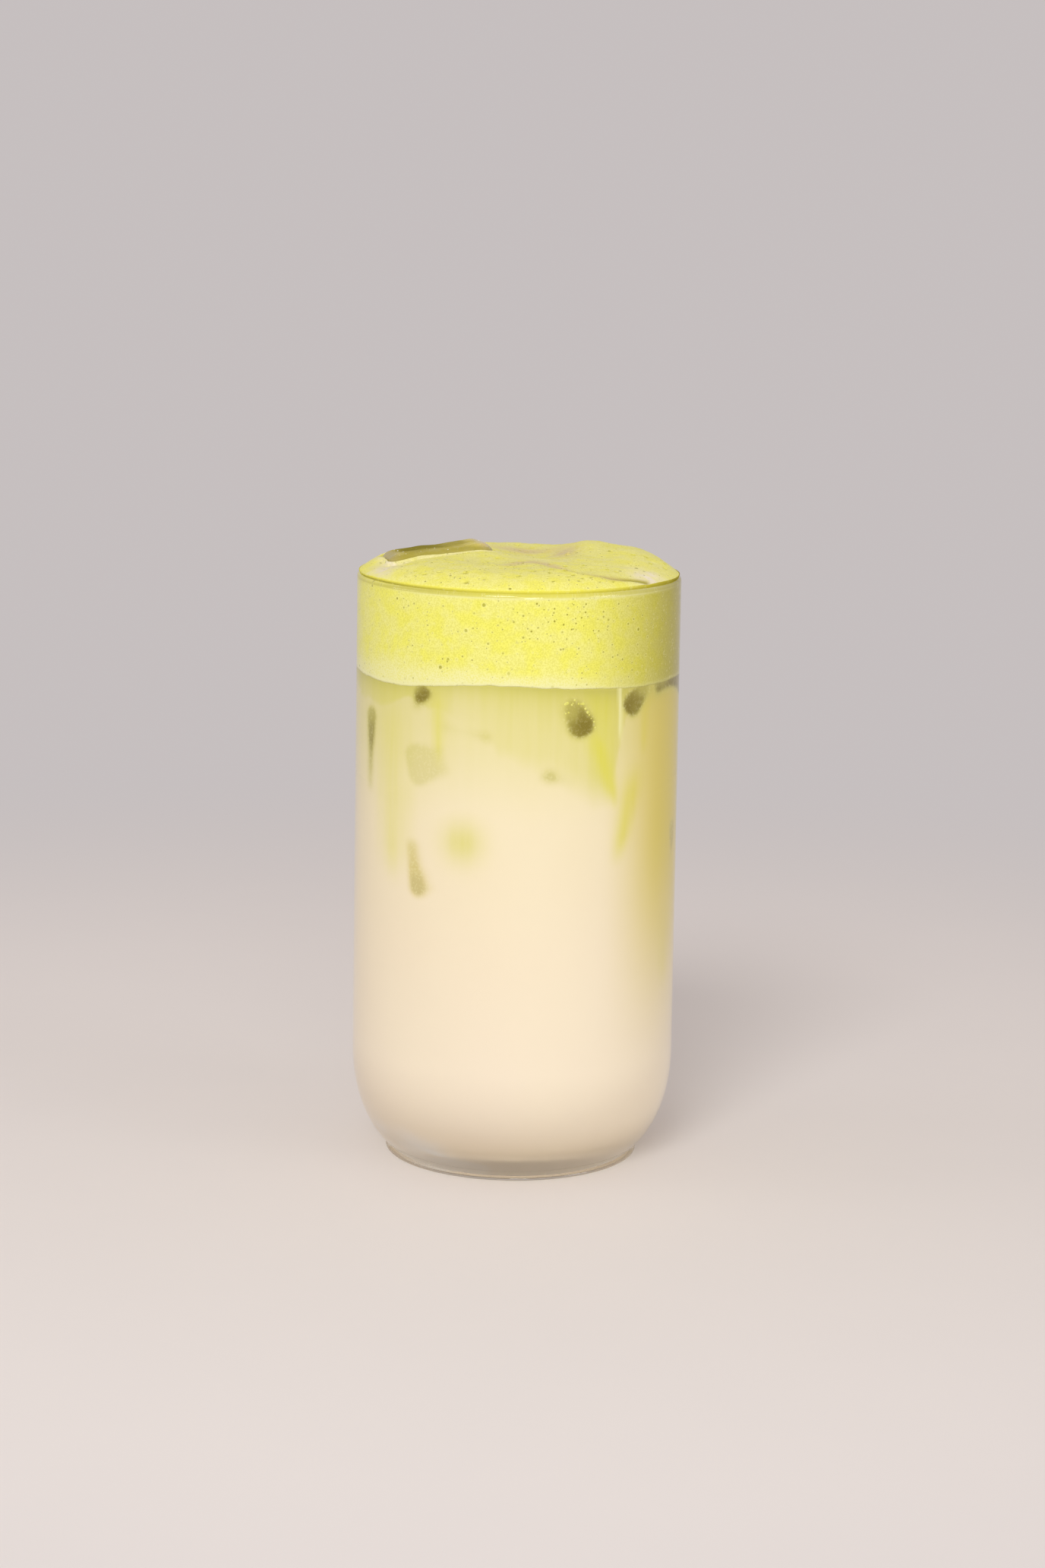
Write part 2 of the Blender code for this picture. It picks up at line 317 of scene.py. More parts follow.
def makeGlass():
    s = glassSpec
    hollow = np.linspace(0.15, 1, s["puntSteps"])
    outline = [(s["puntRadius"] * k, s["puntDepth"] * (1 - k ** 6)) for k in hollow]
    foot, soft, step = s["footRadius"], s["footSoft"], s["footStep"]
    for turn in np.linspace(0, np.pi / 2, s["footSteps"]):
        outline.append((foot - soft + soft * math.sin(turn), soft - soft * math.cos(turn)))
    outline += [(foot, s["footHeight"] - soft), (foot - step, s["footHeight"] - step)]
    outline += list(zip(*(part[::-1] for part in outerCorner())))
    wallTop = rimHeight - s["wall"]
    outline += [(wallRadius(z), z) for z in np.linspace(cornerTop, wallTop, s["wallSteps"])[1:]]
    lip = s["wall"] / 2
    for turn in np.linspace(0, np.pi, s["lipSteps"]):
        outline.append((rimRadius - lip + lip * math.cos(turn), rimHeight - lip + lip * math.sin(turn)))
    outline += [(innerRadius(z), z) for z in np.linspace(wallTop, bowlTop, s["wallSteps"])]
    for turn in np.linspace(0, np.pi / 2, s["bowlSteps"])[1:]:
        z = bowlTop - s["bowlUp"] * math.sin(turn)
        outline.append((innerRadius(z), z))
    outline += [(innerRadius(s["baseThickness"]) * k, s["baseThickness"]) for k in (0.8, 0.5, 0.2)]
    rings = [ringOf(r, z, s["around"]) for r, z in outline]
    mesh = ringSkin("clearGlass", rings, (0, 0, s["puntDepth"]), (0, 0, s["baseThickness"]))
    mesh.set_sharp_from_angle(angle=s["sharpOver"])

    material, n, shader = newMaterial("clearGlass")
    shader.inputs["Base Color"].default_value = (*s["tint"], 1)
    shader.inputs["Transmission Weight"].default_value = 1
    shader.inputs["IOR"].default_value = s["shine"]
    shader.inputs["Metallic"].default_value = 0
    smear = n.patch(60, 4, 0.45, 0.75)
    n.feed(shader.inputs["Roughness"], n.maths("MULTIPLY", smear, s["smear"]))
    # lamps, and light off the floor, reach what is inside
    path = n.add("ShaderNodeLightPath")
    lit = n.maths("MAXIMUM", path.outputs["Is Shadow Ray"], path.outputs["Is Diffuse Ray"])
    clear = n.add("ShaderNodeBsdfTransparent", {"Color": (*s["letThrough"], 1)})
    both = n.add("ShaderNodeMixShader")
    n.feed(both.inputs[0], lit)
    n.feed(both.inputs[1], shader.outputs[0])
    n.feed(both.inputs[2], clear.outputs[0])
    n.feed(material.node_tree.nodes["Material Output"].inputs[0], both.outputs[0])
    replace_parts(addPiece("clearGlass", mesh, "glass", material), "glass")


makeGlass()
print("glass turned")


# The block of ice that breaks the foam, at the place of its solid.
iceSpec = dict(
    size=(26.5 * mm, 15 * mm, 20 * mm), topCentre=(-19.7 * mm, 1.6 * mm), topAboveRim=6 * mm,
    yaw=math.radians(15), tilt=math.radians(-6.5), rounding=2.6 * mm, hollow=0.3 * mm,
    wear=1.5 * mm, skin=0.2 * mm, cuts=40, seed=21, underBox=0.02 * mm,
    clearUnderTop=(3.2 * mm, 1.6 * mm), clearBack=(-3 * mm, 0), clearAlong=(10 * mm, 6.5 * mm), clearMiddle=-0.7 * mm,
    endsFrom=(8.5 * mm, 11.5 * mm), endsMiddle=-0.4 * mm, footShadowUpTo=(1.1 * mm, 0.3 * mm),
    clear=(0.27, 0.23, 0.03), frosted=(0.64, 0.55, 0.12), ends=(0.69, 0.55, 0.23),
    cloud=(0.80, 0.72, 0.36), foot=(0.36, 0.31, 0.05),
    specks=46, speckRadius=(0.05 * mm, 0.2 * mm), speckPale=(0.95, 0.94, 0.86), speckDull=(0.75, 0.72, 0.45),
)


def iceForm(name, size, rounding, hollow, cuts, seed, uneven):
    # a block with rounded edges, faces sunk a little by melting, and an uneven skin
    shape = bmesh.new()
    bmesh.ops.create_cube(shape, size=2)
    bmesh.ops.subdivide_edges(shape, edges=shape.edges, cuts=cuts, use_grid_fill=True)
    mesh = bpy.data.meshes.new(name)
    shape.to_mesh(mesh)
    shape.free()
    unit = pointsOf(mesh)
    half = np.array(size) / 2
    crowding = 0.8   # under 1, it sets more of the points near the edges
    flat = half * np.sign(unit) * np.abs(unit) ** crowding
    inner = np.clip(flat, rounding - half, half - rounding)
    outwards = flat - inner
    outwards /= np.maximum(np.linalg.norm(outwards, axis=1, keepdims=True), 1e-9)
    a, b, c = (1 - unit ** 2).T
    middle = np.max([a * b, b * c, a * c], axis=0)
    bumps = lumps(flat, 4 * mm, seed) + 0.4 * lumps(flat, 1.6 * mm, seed + 1)
    out = rounding - hollow * middle + uneven * bumps
    mesh.vertices.foreach_set("co", (inner + outwards * out[:, None]).ravel())
    mesh.shade_smooth()
    return mesh


def topIcePlace():
    s = iceSpec
    turn = Euler((0, s["tilt"], s["yaw"]), "XYZ").to_matrix()
    top = Vector((*s["topCentre"], rimHeight + s["topAboveRim"]))
    return turn.to_4x4(), top + turn @ Vector((0, 0, -s["size"][2] / 2))


def insideTopIce(x, y):
    # how far a point of the foam's top is inside the block's outline, seen from above, and where along it
    turn, centre = topIcePlace()
    foamHeight = rimHeight + 4 * mm
    away = np.stack([x - centre.x, y - centre.y, np.full_like(x, foamHeight - centre.z)])
    local = np.array(turn.to_3x3()).T @ away
    half = np.array(iceSpec["size"]) / 2 - iceSpec["rounding"]
    over = np.abs(local[:2]) - half[:2, None]
    outside = np.linalg.norm(np.maximum(over, 0), axis=0) + np.minimum(over.max(axis=0), 0)
    return iceSpec["rounding"] - outside, local[0], local[1]


# The foam.
foamSpec = dict(
    around=480, sideRings=60, topRings=136,
    line=116.6 * mm, lineSwell=1.5 * mm, swellAt=math.radians(-10), swellWidth=math.radians(24),
    lineWave=0.25 * mm, lineRough=((0.34, 8, 2), (0.2, 3, 3), (0.07, 0.9, 4)),
    dome=3.9 * mm, domeFullness=7.4, domeEdge=0.5 * mm,
    mounds=(   # height, middle and spread in mm
        (1.9, 17, 14, 5.8, 13), (1.3, -9, -1, 9, 8), (0.5, -26, 4, 12, 14),
        (-2.2, 3, 12, 8.5, 13), (-0.8, 20, -20, 16, 9), (1.7, 29, 10, 7, 14), (-1.0, -30, -11, 5, 5),
    ),
    fold=0.75 * mm, foldPlace=((1, 17, -23, 13, 10),),
    topRough=((0.16, 5, 6), (0.07, 2, 7), (0.035, 0.9, 8)),
    sideSunk=0.05 * mm,   # how far the side reaches into the wall
    lyingFrom=math.radians(55), lyingTo=math.radians(84),
    lipRings=((0.10, -0.45, 0), (0.32, -0.12, 0.1), (0.62, 0.2, 0.45), (0.70, 0.55, 0.5)),
    pits=340, pitLeast=0.22 * mm, pitMore=0.5 * mm, pitDepth=0.84, pitRim=0.12,
    creaseWidth=1.7, creaseDepth=0.12 * mm, gapDepth=0.25 * mm,
    dipDepth=1.0 * mm, dipWidth=2.6 * mm, ridgeHeight=0.22 * mm, ridgeWidth=0.6 * mm, pocketDepth=13 * mm,
    milkySpots=((1, 29.5, -18.5, 4.2, 5), (0.9, -31, -13, 3.5, 6), (0.25, 6, -8.5, 9, 2.2)),
    shadeAndSheenSpots=((0.8, 1, 19, 8, 3), (0.8, 10.5, 8, 3.2, 9)),
    crowdOnTop=((0.8, -2, -19, 14, 7),),
    bright=(0.94, 0.90, 0.145), deep=(0.71, 0.66, 0.045), pale=(0.93, 0.895, 0.44), hole=(0.40, 0.365, 0.02),
    milky=(0.92, 0.83, 0.60), smear=(0.72, 0.56, 0.27), crease=(0.46, 0.33, 0.10), turned=(0.49, 0.445, 0.10),
    lip=(0.78, 0.72, 0.07), lipHighlight=(0.93, 0.90, 0.48), shadeUnderLip=(0.44, 0.40, 0.05), thinEdge=(0.90, 0.87, 0.50),
)


def foamLine(bearing):
    s = foamSpec
    off = np.angle(np.exp(1j * (bearing - s["swellAt"])))
    swell = s["lineSwell"] * bell(off, 0, s["swellWidth"])
    wave = s["lineWave"] * (np.sin(3 * bearing + 0.6) + 0.6 * np.sin(7 * bearing - 1.1))
    return s["line"] + swell + wave


def foldEdge(x):
    return -15 * mm - 11.5 * mm * smoothstep(0, 15 * mm, x) + 3.9 * mm * smoothstep(20 * mm, 30 * mm, x)


def foamTop(x, y):
    # the same mounds and fold as the solid's
    s = foamSpec
    share = np.minimum(1, np.hypot(x, y) / (rimRadius - 0.6 * mm))
    dome = s["dome"] * (1 - share ** s["domeFullness"])
    behind = (y - foldEdge(x)) / mm
    fold = s["fold"] * np.exp(-np.abs(behind) / 4) * np.tanh(-behind * 1.4) * humps(x, y, s["foldPlace"])
    return rimHeight + s["domeEdge"] + dome + (1 - share ** 8) * (mm * humps(x, y, s["mounds"]) + fold)


def makeFoam():
    s = foamSpec
    around = s["around"]
    bearing = 2 * np.pi * np.arange(around) / around
    sunk = s["sideSunk"]
    lip = glassSpec["wall"] / 2
    line = foamLine(bearing)
    line = line + roughness(ringOf(innerRim, line, around), s["lineRough"])
    rings = [ringOf((innerRim + sunk) * k, line, around) for k in (0.5, 0.9, 0.985)]
    for k in np.linspace(0, 1, s["sideRings"]):
        z = line + (rimHeight - lip - line) * k
        rings.append(ringOf(wallRadius(z) - glassSpec["wall"] + sunk, z, around))
    over = roughness(rings[-1], ((0.10, 5, 5),))
    # it leans over the lip, and lies on it at the sides and behind
    lying = smoothstep(s["lyingFrom"], s["lyingTo"], np.abs(np.angle(np.exp(1j * bearing))))
    for out, up, spread in s["lipRings"]:
        reach = (out + spread * lying) * mm + over * (up + 0.5)
        rings.append(ringOf(innerRim + reach, rimHeight + up * mm, around))
    start = innerRim + (0.56 + 0.42 * lying) * mm + over
    inwards = np.linspace(1, 0, s["topRings"], endpoint=False)
    sideCount = len(rings)
    for k in inwards:
        ring = ringOf(start * k, 0.0, around)
        ring[:, 2] = foamTop(ring[:, 0], ring[:, 1])
        rings.append(ring)
    rings = np.array(rings)

    top = rings[sideCount:].reshape(-1, 3)
    x, y = top[:, 0].copy(), top[:, 1].copy()
    share = np.hypot(x, y) / innerRim
    quiet = 1 - 0.6 * smoothstep(0.93, 1.0, share)
    top[:, 2] += quiet * roughness(top, s["topRough"])
    # open bubbles, from pin holes to a few wide ones
    rng = np.random.default_rng(12)
    pit = np.zeros(len(top))
    for k in range(s["pits"]):
        angle, out = rng.uniform(0, 2 * math.pi), innerRim * math.sqrt(rng.uniform(0, 0.94))
        radius = s["pitLeast"] + s["pitMore"] * rng.uniform() ** 3
        away = np.hypot(x - out * math.sin(angle), (y + out * math.cos(angle)) * rng.uniform(0.8, 1.3)) / radius
        dip = 1 - smoothstep(0.55, 1.0, away)
        pit = np.maximum(pit, dip)
        top[:, 2] += radius * (s["pitRim"] * smoothstep(1.7, 1.15, away) - s["pitDepth"] * dip)
    # the thin dark line where the fold closes, open for a few millimetres near the rim; its darkness is painted shade
    behind = (y - foldEdge(x)) / mm
    along = smoothstep(4 * mm, 11 * mm, x) * smoothstep(30.5 * mm, 28.5 * mm, x)
    gap = smoothstep(21 * mm, 26 * mm, x) * along
    crease = along * bell(behind, 0.9, s["creaseWidth"] - 0.8 * gap)
    top[:, 2] -= (s["creaseDepth"] + s["gapDepth"] * gap) * crease
    # the pocket that holds the ice, with the foam drawn up a little against it
    inside, along, across = insideTopIce(x, y)
    dip = smoothstep(2 * mm, -5 * mm, across) * (0.25 + 0.75 * smoothstep(4 * mm, -8 * mm, along))
    top[:, 2] -= s["dipDepth"] * dip * np.exp(-np.abs(inside) / s["dipWidth"]) * (inside < 0)
    top[:, 2] += s["ridgeHeight"] * np.exp(-np.abs(inside) / s["ridgeWidth"]) * (inside < 0)
    top[:, 2] -= s["pocketDepth"] * smoothstep(0.5 * mm, 2.2 * mm, inside)
    rings[sideCount:] = top.reshape(-1, around, 3)

    under, over = (0, 0, float(line.mean())), (0, 0, float(foamTop(np.zeros(1), np.zeros(1))[0]))
    mesh = ringSkin("greenTeaFoam", rings, under, over)
    # milky patches, and tan smears of painted shade and sheen: one bends over the middle mound to the crease, one
    # lies in the hollow behind
    milky = humps(x, y, s["milkySpots"]) + 0.4 * bell(inside, 0, 1.1 * mm) * (inside < 0.3 * mm)
    bend = -11.3 * mm - 1.3 * np.hypot(x - 3.2 * mm, 1.5 * mm)
    smear = 0.75 * smoothstep(-6 * mm, 0, x) * smoothstep(14 * mm, 9 * mm, x) * bell(y, bend, 2.6 * mm)
    smear += humps(x, y, s["shadeAndSheenSpots"])
    onTop = dict(pit=pit, crease=crease, slit=crease * gap, milky=milky, smear=smear)
    for name, values in onTop.items():
        values = np.clip(values, 0, 1)
        paint(mesh, name, np.concatenate([np.zeros(1 + sideCount * around), values, np.zeros(1)]))

    points = pointsOf(mesh)
    wide = np.degrees(bearingOf(points))
    above = (points[:, 2] - foamLine(bearingOf(points))) / mm
    high = (points[:, 2] - rimHeight) / mm
    reach = 5.0 + 3.0 * bell(wide, -48, 22) + 1.6 * lumps(points, 9 * mm, 9)
    # the pale foot of the layer fades towards the right
    fade = smoothstep(8, 48, wide) * smoothstep(150, 115, wide)
    low = np.clip(1 - smoothstep(0.2, 1, above / reach), 0, 1) * (points[:, 2] < rimHeight)
    paint(mesh, "pale", low * (1 - 0.75 * fade))
    paint(mesh, "thinEdge", bell(above, 0.25, 0.45) * (1 - 0.6 * fade))
    # the lip, which the rounded rim of the glass magnifies, so it has no bubbles and lines of its own. It is painted
    # a darker green there, partly the wetter foam and partly painted shade under the rim
    left = 0.05 + 0.95 * bell(wide, -56, 34)
    outer = np.hypot(points[:, 0], points[:, 1]) > innerRim - 0.2 * mm
    paint(mesh, "nearLip", outer * smoothstep(-1.3, -1.0, high) * smoothstep(0.9, 0.5, high))
    # painted shadow under the lip, where the foam bulges over the rim, mostly on the left
    paint(mesh, "shadeUnderLip", outer * left * smoothstep(-1.1, -0.8, high) * smoothstep(0.6, 0.2, high))
    # a painted highlight: a pale line just below the rim
    paint(mesh, "lipHighlight", outer * bell(high, -1.2, 0.28) * bell(wide, 8, 60, 4))
    # painted shade: darker and greener on the right side, where less light falls
    paint(mesh, "turned", outer * smoothstep(14, 84, wide) * smoothstep(130, 100, wide))
    # where small bubbles crowd: right of the middle on the front, and on the top near it
    crowd = bell(wide, 15, 19) * bell(high, -6, 5.5) * (high < 0.4)
    crowd += humps(points[:, 0], points[:, 1], s["crowdOnTop"]) * (high > 0.4)
    paint(mesh, "crowd", smoothstep(0.1, 0.55, crowd))
    for polygon in mesh.polygons[around * (sideCount + 1):]:
        polygon.material_index = 1

    materials = foamMaterial("foamBehindGlass", False), foamMaterial("foamTop", True)
    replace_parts(addPiece("greenTeaFoam", mesh, "matcha_foam", *materials), "matcha_foam")


def foamMaterial(name, bare):
    s = foamSpec
    material, n, shader = newMaterial(name)
    pale = (*s["pale"], 1)
    cloud = n.patch(260, 4, 0.36, 0.62)
    grain = n.patch(2900, 2, 0.42, 0.60)
    colour = n.mix(n.maths("MULTIPLY", cloud, 0.36), (*s["bright"], 1), pale)
    colour = n.mix(n.maths("MULTIPLY", grain, 0.40), colour, (*s["deep"], 1))
    ragged = n.maths("MULTIPLY", n.painted("pale"), n.level(grain, -0.35, 0.85), True)
    colour = n.mix(ragged, colour, pale)
    if bare:
        # painted shadow under the lip
        colour = n.wash(colour, "shadeUnderLip", s["shadeUnderLip"], 0.7)
        # painted shade and sheen: the tan smears
        colour = n.wash(colour, "smear", s["smear"])
        froth = n.patch(420, 3, 0.34, 0.6)
        milky = n.maths("MULTIPLY", n.painted("milky"), n.level(froth, 0.6, 0.5), True)
        colour = n.mix(milky, colour, (*s["milky"], 1))
    else:
        # the lip's darker green, partly painted shade
        colour = n.wash(colour, "nearLip", s["lip"], 0.8)
        # painted shade on the right side, multiplied in
        colour = n.mix(n.painted("turned"), colour, (*s["turned"], 1), "MULTIPLY")
        colour = n.wash(colour, "thinEdge", s["thinEdge"], 0.5)
        # painted highlight below the rim
        colour = n.wash(colour, "lipHighlight", s["lipHighlight"], 0.6)
        # painted shadow under the lip
        colour = n.wash(colour, "shadeUnderLip", s["shadeUnderLip"], 0.7)
    fine = n.use(bubbles, PerMetre=900, Size=0.30, Rarity=1.7)
    wide = n.use(bubbles, PerMetre=520, Size=0.27, Rarity=3.2)
    crowd = n.use(bubbles, PerMetre=1000, Size=0.31, Rarity=0.85)
    gather = n.patch(90, 2, 0.36, 0.56)
    # painted shade in the bubble holes, and a painted highlight on the edge round each
    holes = n.maths("MAXIMUM", n.maths("MULTIPLY", fine["Holes"], 0.7), n.maths("MULTIPLY", wide["Holes"], 0.9))
    holes = n.maths("MULTIPLY", holes, n.level(gather, 0.75, 0.25))
    holes = n.maths("MAXIMUM", holes, n.maths("MULTIPLY", crowd["Holes"], n.painted("crowd")))
    holes = n.maths("MULTIPLY", holes, n.maths("SUBTRACT", 1.0, n.painted("nearLip")))
    lips = n.maths("MAXIMUM", fine["Lip"], wide["Lip"])
    colour = n.mix(n.maths("MULTIPLY", lips, 0.25), colour, pale)
    if bare:
        # painted shade: the pits and the open slit are as dark as the holes, and the crease is darkened
        holes = n.maths("MAXIMUM", holes, n.maths("MULTIPLY", n.painted("pit"), 0.9))
        holes = n.maths("MAXIMUM", holes, n.painted("slit"))
        colour = n.wash(colour, "crease", s["crease"], 0.8)
        wet = n.patch(240, 3, 0.35, 0.7)
        n.feed(shader.inputs["Roughness"], n.level(wet, 0.2, 0.34))
        height = n.maths("SUBTRACT", n.maths("MULTIPLY", grain, 0.35), holes)
        bump = n.add("ShaderNodeBump", {"Height": height, "Distance": 0.12 * mm, "Strength": 0.7})
        n.feed(shader.inputs["Normal"], bump.outputs[0])
    else:
        n.feed(shader.inputs["Roughness"], n.level(cloud, 0.1, 0.6))
        shader.inputs["Specular IOR Level"].default_value = 0.1
    n.feed(shader.inputs["Base Color"], n.mix(holes, colour, (*s["hole"], 1)))
    return material


makeFoam()
print("foam whipped")


def makeTopIce():
    s = iceSpec
    mesh = iceForm("iceBlock", s["size"], s["rounding"] + s["wear"], s["hollow"], s["cuts"], s["seed"], s["skin"])
    # clear along the back of its top, where it is painted dark olive as the shade of the pocket seen through the ice;
    # frosted by foam on the front face and at both ends
    x, y, z = pointsOf(mesh).T
    top = s["size"][2] / 2
    clear = smoothstep(*(top - under for under in s["clearUnderTop"]), z) * smoothstep(*s["clearBack"], y)
    clear *= smoothstep(*s["clearAlong"], np.abs(x - s["clearMiddle"])) * (0.6 + 0.4 * smoothstep(4 * mm, -2 * mm, x))
    paint(mesh, "clear", clear)
    paint(mesh, "ends", smoothstep(*s["endsFrom"], np.abs(x - s["endsMiddle"])))
    turn, centre = topIcePlace()
    place = Matrix.Translation(centre) @ turn
    mesh.transform(place)
    points = pointsOf(mesh)
    points[:, 2] = np.minimum(points[:, 2], cadBox[1][2] - s["underBox"])
    mesh.vertices.foreach_set("co", points.ravel())
    above = points[:, 2] - foamTop(points[:, 0], points[:, 1])
    # painted shadow: darker along the foot, where the block meets the foam
    paint(mesh, "foot", smoothstep(*s["footShadowUpTo"], above))
    material, n, shader = newMaterial("wetIce")
    cloud = n.patch(420, 4, 0.42, 0.66)
    shader.inputs["Transmission Weight"].default_value = 0.05
    shader.inputs["IOR"].default_value = 1.2
    shader.inputs["Metallic"].default_value = 0
    shader.inputs["Specular IOR Level"].default_value = 0.0
    shader.inputs["Coat Roughness"].default_value = 0.12
    shader.inputs["Coat IOR"].default_value = 1.33
    n.feed(shader.inputs["Coat Weight"], n.painted("ends"))
    colour = n.mix(n.painted("ends"), (*s["frosted"], 1), (*s["ends"], 1))
    colour = n.mix(n.maths("MULTIPLY", cloud, 0.45), colour, (*s["cloud"], 1))
    # painted shadow at the foot
    colour = n.wash(colour, "foot", s["foot"], 0.7)
    # painted shade: the clear strip is dark olive
    n.feed(shader.inputs["Base Color"], n.wash(colour, "clear", s["clear"]))
    n.feed(shader.inputs["Roughness"], n.level(cloud, 0.2, 0.03))
    fine = n.patch(900, 2, 0.3, 0.7)
    bump = n.add("ShaderNodeBump", {"Height": fine, "Distance": 0.12 * mm, "Strength": 0.7})
    n.feed(shader.inputs["Normal"], bump.outputs[0])
    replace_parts(addPiece("iceBlock", mesh, "ice_block", material), "ice_block")

    # white balls at the block's skin, air caught there that also stands as painted glints, most of it at the left
    rng = np.random.default_rng(31)
    likely = (above > 0.4 * mm) * (z > 0) * (0.12 + smoothstep(4 * mm, -11 * mm, x))
    likely *= smoothstep(4 * mm, -3 * mm, y)
    least, more = s["speckRadius"]
    places = []
    for k in rng.choice(len(points), s["specks"], replace=False, p=likely / likely.sum()):
        radius = least + more * rng.uniform() ** 5
        at = Vector(points[k]) - Vector((0, 0, 0.5 * radius))
        at.z = min(at.z, cadBox[1][2] - 1.1 * radius)
        places.append(Matrix.Translation(at) @ Matrix.Scale(radius, 4))
    # white balls that stand as painted glints
    glare, n, shader = newMaterial("airAndGlints")
    tone = n.patch(900, 1, 0.3, 0.7)
    n.feed(shader.inputs["Base Color"], n.mix(tone, (*s["speckPale"], 1), (*s["speckDull"], 1)))
    shader.inputs["Roughness"].default_value = 0.25
    addPiece("airAndGlints", ballMesh("airAndGlints", places), "ice_block", glare)


makeTopIce()
print("top ice set")


# Ice sunk in the tea. A block stands edge first (edge), leans to or from the wall (pitch) and along it (lean).
# Pressed past the wall it is melted flat, and cover is the tea left between, so it shows as far as cover allows.
sunkIce = (
    dict(name="iceUnderFoamLeft", at=(-35.6, 115.0), size=(10, 10, 9), soft=2.6,
         edge=36, pitch=24, lean=24, press=0.5, cover=0.1),
    dict(name="iceLeftEdge", at=(-63.8, 105), size=(14, 15, 21), soft=2.6,
         edge=52, pitch=4, lean=2, press=0.5, cover=0.25),
    dict(name="iceLeftMiddle", at=(-36.4, 98.4), size=(11.5, 10, 9.5), soft=2.8,
         edge=13, pitch=1, lean=-14, press=0.95, cover=0.75),
    dict(name="iceRightDark", at=(22.9, 110.4), size=(14, 14, 12.5), soft=4.4,
         edge=45, pitch=-10, lean=-24, press=0.9, cover=0.08),
    dict(name="iceRightWedge", at=(46, 113.2), size=(15, 14, 12), soft=3.6,
         edge=42, pitch=-14, lean=52, press=1.0, cover=0.1, darker=-1),
    dict(name="iceRightCorner", at=(66, 117.0), size=(20, 11, 7), soft=2.2,
         edge=6, pitch=30, lean=10, press=0.8, cover=0.15),
    dict(name="iceFrontMiddle", at=(-11.0, 106.2), size=(9, 10, 13), soft=2.2,
         edge=45, pitch=9, lean=100, press=0.05, cover=0.85),
    dict(name="iceFrontRight", at=(12, 97.4), size=(9, 9, 10), soft=2.8,
         edge=44, pitch=14, lean=-70, press=0.12, cover=0.55),
    dict(name="iceLeftLow", at=(-37.0, 71.6), size=(14, 14, 15), soft=3.0,
         edge=22, pitch=-4, lean=-9, press=0.45, cover=0.38),
    dict(name="iceRightEdge", at=(76, 79), size=(14, 15, 13), soft=2.8,
         edge=40, pitch=8, lean=0, press=0.6, cover=0.4),
    dict(name="iceBackRight", at=(128, 109), size=(14, 14, 13), soft=4.0,
         edge=44, pitch=-12, lean=20, press=0.9, cover=0.1),
    dict(name="iceBack", at=(172, 96), size=(12, 12, 13), soft=2.6,
         edge=12, pitch=6, lean=-12, press=0.6, cover=0.7),
    dict(name="iceBackLeft", at=(-124, 111), size=(14, 14, 12), soft=3.8,
         edge=46, pitch=-15, lean=-34, press=1.0, cover=0.12),
    dict(name="iceBackLow", at=(-150, 82), size=(13, 13, 14), soft=3.0,
         edge=60, pitch=6, lean=12, press=0.5, cover=0.45),
)


def makeSunkIce():
    green, frosted = (0.62, 0.58, 0.20, 1), (0.80, 0.76, 0.45, 1)
    hollow, skin, cuts, firstSeed = 0.2 * mm, 0.12 * mm, 15, 40
    material, n, shader = newMaterial("sunkIce")
    n.feed(shader.inputs["Base Color"], n.mix(n.patch(200, 4, 0.4, 0.75), green, frosted))
    shader.inputs["Roughness"].default_value = 0.1
    shader.inputs["Transmission Weight"].default_value = 0.8
    shader.inputs["IOR"].default_value = 1.31
    trees = []
    for k, s in enumerate(sunkIce):
        size = [v * mm for v in s["size"]]
        mesh = iceForm(s["name"], size, s["soft"] * mm, hollow, cuts, firstSeed + k, skin)
        bearing = math.radians(s["at"][0])
        edge, pitch, lean = (math.radians(s[key]) for key in ("edge", "pitch", "lean"))
        stand = Matrix.Rotation(lean, 3, "Y") @ Matrix.Rotation(pitch, 3, "X") @ Matrix.Rotation(edge, 3, "Z")
        points = pointsOf(mesh) @ np.array(stand).T
        limit = innerRim - s["cover"] * mm
        # its foremost part is pushed past the wall and melted flat, then centred on its place
        points[:, 1] -= points[:, 1].min() + innerRim + s["press"] * mm - s["cover"] * mm
        foremost = points[points[:, 1] < -limit][:, [0, 2]]
        points[:, [0, 2]] -= (foremost.min(axis=0) + foremost.max(axis=0)) / 2
        radius = np.hypot(points[:, 0], points[:, 1])
        points[:, :2] *= np.minimum(1, limit / radius)[:, None]
        points[:, 2] += s["at"][1] * mm
        points = points @ np.array(Matrix.Rotation(bearing, 3, "Z")).T
        mesh.vertices.foreach_set("co", points.ravel())
        addPiece(s["name"], mesh, "ice_block", material)
        trees.append((BVHTree.FromPolygons(points.tolist(), [p.vertices for p in mesh.polygons]), points, s))
    return trees


